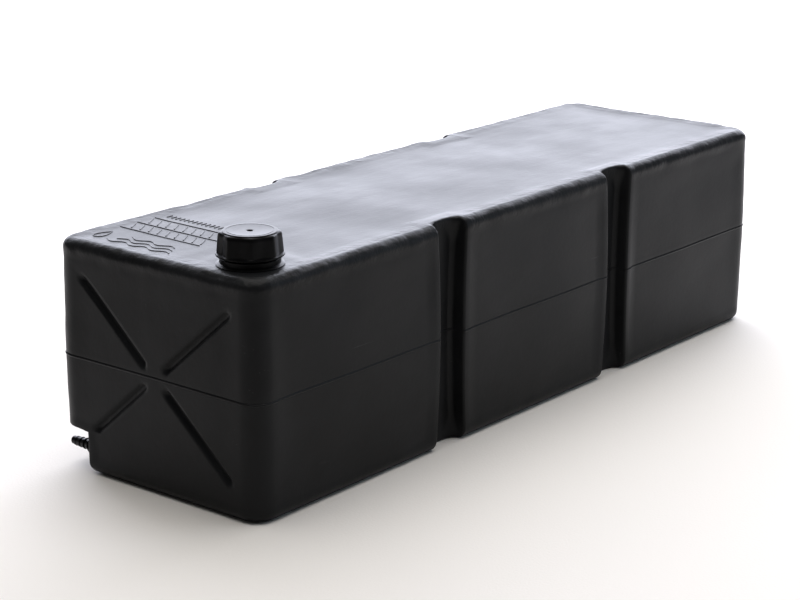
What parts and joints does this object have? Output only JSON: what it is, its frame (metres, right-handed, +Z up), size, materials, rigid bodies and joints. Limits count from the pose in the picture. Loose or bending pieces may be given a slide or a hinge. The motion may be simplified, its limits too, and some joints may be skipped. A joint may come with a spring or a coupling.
{
  "type": "fresh water tank",
  "caption": "Long moulded water tank with rounded edges, strap grooves down its sides, a vented screw filler cap near one corner and a barbed hose outlet in a corner recess.",
  "frame": {"origin": "centre of the underside", "axes": "+Z up, +X along the tank away from the filler end, -Y towards the long side nearest the filler cap; the outlet recess is in the -X, +Y bottom corner"},
  "size_m": [0.9312, 0.2862, 0.284],
  "materials": {
    "shell": "satin black polyethylene, faintly scuffed",
    "neck": "semi-gloss black, moulded",
    "cap": "glossy black, moulded",
    "seal": "matt black rubber",
    "gauze": "dull stainless gauze",
    "bush": "turned, slightly tarnished",
    "tail": "satin black nylon"
  },
  "bodies": {
    "root": {"tank_body": "shell", "filler_neck": "neck", "outlet_bush": "bush", "outlet_washer": "seal", "hose_tail": "tail"},
    "seal": {"cap_seal": "seal"},
    "cap": {"filler_cap": "cap", "vent_gauze": "gauze", "vent_retainer": "neck"}
  },
  "joints": [
    {"name": "cap_rise", "type": "slide", "parent": "root", "child": "seal", "axis": [0, 0, 1], "range_m": [0, 0.024]},
    {"name": "cap_turn", "type": "hinge", "parent": "seal", "child": "cap", "pos_m": [-0.413, -0.0875, 0.27], "axis": [0, 0, 1], "range_deg": [0, 1440]}
  ],
  "couplings": [
    {"joint": "cap_rise", "follows": "cap_turn", "m_per_rad": 0.00095493}
  ]
}
